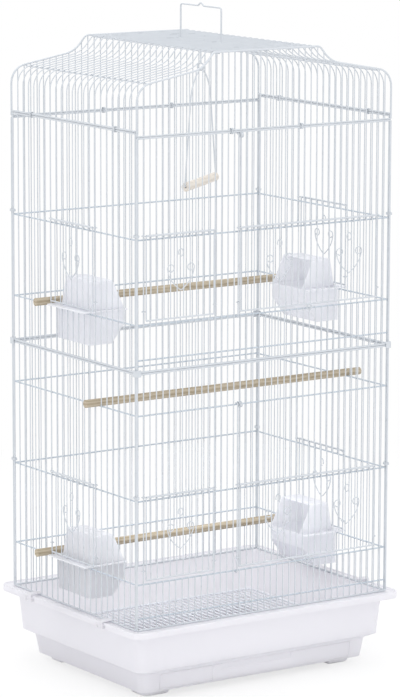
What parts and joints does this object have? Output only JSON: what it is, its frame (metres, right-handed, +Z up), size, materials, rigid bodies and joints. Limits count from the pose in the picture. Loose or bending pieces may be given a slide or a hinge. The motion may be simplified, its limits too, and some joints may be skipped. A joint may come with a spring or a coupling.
{
  "type": "bird cage",
  "caption": "Tall wire cage on a moulded base, with lift-up doors, slide-out tray, seed feeders, perches, swing and fold-down carry handle.",
  "frame": {"origin": "floor level under the centre of the overall box", "axes": "+X along the front towards its right end, +Y from the front to the back, +Z up"},
  "size_m": [0.49, 0.381, 0.9926],
  "materials": {
    "white_wire": "gloss white coated steel wire",
    "base_plastic": "smooth moulded polystyrene",
    "feeder_plastic": "slightly cloudy moulded plastic",
    "foot_plastic": "soft moulded pads",
    "pine": "bare turned pine",
    "pale_wood": "bare turned beech"
  },
  "bodies": {
    "cage": {"base_shell": "base_plastic", "feet": "foot_plastic", "wire_floor": "white_wire", "lower_front_panel": "white_wire", "lower_back_panel": "white_wire", "lower_left_panel": "white_wire", "lower_right_panel": "white_wire", "lower_cross_wires": "white_wire", "upper_front_panel": "white_wire", "upper_back_panel": "white_wire", "upper_left_panel": "white_wire", "upper_right_panel": "white_wire", "upper_cross_wires": "white_wire", "guide_rods": "white_wire", "corner_rings": "white_wire", "corner_cleats": "white_wire", "roof_front_gable": "white_wire", "roof_back_gable": "white_wire", "roof_wires": "white_wire", "roof_cross_wires": "white_wire", "roof_clips": "white_wire", "swing_hanger": "white_wire"},
    "tray": {"slide_out_tray": "base_plastic", "tray_surround": "base_plastic"},
    "lower_small_door": {"lower_small_door": "white_wire"},
    "lower_large_door": {"lower_large_door": "white_wire"},
    "lower_left_door": {"lower_left_door": "white_wire"},
    "lower_right_door": {"lower_right_door": "white_wire"},
    "upper_small_door": {"upper_small_door": "white_wire"},
    "upper_large_door": {"upper_large_door": "white_wire"},
    "upper_left_door": {"upper_left_door": "white_wire"},
    "upper_right_door": {"upper_right_door": "white_wire"},
    "lower_left_feeder": {"lower_left_cup": "feeder_plastic", "lower_left_hood": "feeder_plastic"},
    "lower_right_feeder": {"lower_right_cup": "feeder_plastic", "lower_right_hood": "feeder_plastic"},
    "upper_left_feeder": {"upper_left_cup": "feeder_plastic", "upper_left_hood": "feeder_plastic"},
    "upper_right_feeder": {"upper_right_cup": "feeder_plastic", "upper_right_hood": "feeder_plastic"},
    "perch_lower": {"perch_lower": "pine"},
    "perch_middle": {"perch_middle": "pine"},
    "perch_upper": {"perch_upper": "pine"},
    "swing": {"swing_bail": "white_wire", "swing_dowel": "pale_wood"},
    "handle": {"carry_handle": "white_wire"},
    "latch_left_front": {"latch_left_front": "base_plastic"},
    "latch_left_back": {"latch_left_back": "base_plastic"},
    "latch_right_front": {"latch_right_front": "base_plastic"},
    "latch_right_back": {"latch_right_back": "base_plastic"}
  },
  "joints": [
    {"name": "tray_slide", "type": "slide", "parent": "cage", "child": "tray", "axis": [0, -1, 0], "range_m": [0, 0.28]},
    {"name": "lower_small_door_slide", "type": "slide", "parent": "cage", "child": "lower_small_door", "axis": [0, 0, 1], "range_m": [0, 0.098]},
    {"name": "lower_large_door_slide", "type": "slide", "parent": "cage", "child": "lower_large_door", "axis": [0, 0, 1], "range_m": [0, 0.098]},
    {"name": "lower_left_door_slide", "type": "slide", "parent": "cage", "child": "lower_left_door", "axis": [0, 0, 1], "range_m": [0, 0.098]},
    {"name": "lower_right_door_slide", "type": "slide", "parent": "cage", "child": "lower_right_door", "axis": [0, 0, 1], "range_m": [0, 0.098]},
    {"name": "upper_small_door_slide", "type": "slide", "parent": "cage", "child": "upper_small_door", "axis": [0, 0, 1], "range_m": [0, 0.098]},
    {"name": "upper_large_door_slide", "type": "slide", "parent": "cage", "child": "upper_large_door", "axis": [0, 0, 1], "range_m": [0, 0.098]},
    {"name": "upper_left_door_slide", "type": "slide", "parent": "cage", "child": "upper_left_door", "axis": [0, 0, 1], "range_m": [0, 0.098]},
    {"name": "upper_right_door_slide", "type": "slide", "parent": "cage", "child": "upper_right_door", "axis": [0, 0, 1], "range_m": [0, 0.098]},
    {"name": "lower_left_feeder_slide", "type": "slide", "parent": "cage", "child": "lower_left_feeder", "axis": [1, 0, 0], "range_m": [0, 0.025]},
    {"name": "lower_right_feeder_slide", "type": "slide", "parent": "cage", "child": "lower_right_feeder", "axis": [-1, 0, 0], "range_m": [0, 0.025]},
    {"name": "upper_left_feeder_slide", "type": "slide", "parent": "cage", "child": "upper_left_feeder", "axis": [1, 0, 0], "range_m": [0, 0.025]},
    {"name": "upper_right_feeder_slide", "type": "slide", "parent": "cage", "child": "upper_right_feeder", "axis": [-1, 0, 0], "range_m": [0, 0.025]},
    {"name": "perch_lower_lift", "type": "slide", "parent": "cage", "child": "perch_lower", "axis": [0, 0, 1], "range_m": [0, 0.006]},
    {"name": "perch_middle_lift", "type": "slide", "parent": "cage", "child": "perch_middle", "axis": [0, 0, 1], "range_m": [0, 0.006]},
    {"name": "perch_upper_lift", "type": "slide", "parent": "cage", "child": "perch_upper", "axis": [0, 0, 1], "range_m": [0, 0.006]},
    {"name": "swing_hinge", "type": "hinge", "parent": "cage", "child": "swing", "pos_m": [0, 0, 0.8945], "axis": [0.7986, 0.6018, 0], "range_deg": [-25, 25]},
    {"name": "handle_hinge", "type": "hinge", "parent": "cage", "child": "handle", "pos_m": [0, 0, 0.9328], "axis": [0, 1, 0], "range_deg": [-80, 80]},
    {"name": "latch_left_front_hinge", "type": "hinge", "parent": "cage", "child": "latch_left_front", "pos_m": [-0.2398, -0.09809, 0.107], "axis": [0, -1, 0], "range_deg": [0, 90]},
    {"name": "latch_left_back_hinge", "type": "hinge", "parent": "cage", "child": "latch_left_back", "pos_m": [-0.2398, 0.09809, 0.107], "axis": [0, -1, 0], "range_deg": [0, 90]},
    {"name": "latch_right_front_hinge", "type": "hinge", "parent": "cage", "child": "latch_right_front", "pos_m": [0.2398, -0.09809, 0.107], "axis": [0, 1, 0], "range_deg": [0, 90]},
    {"name": "latch_right_back_hinge", "type": "hinge", "parent": "cage", "child": "latch_right_back", "pos_m": [0.2398, 0.09809, 0.107], "axis": [0, 1, 0], "range_deg": [0, 90]}
  ]
}
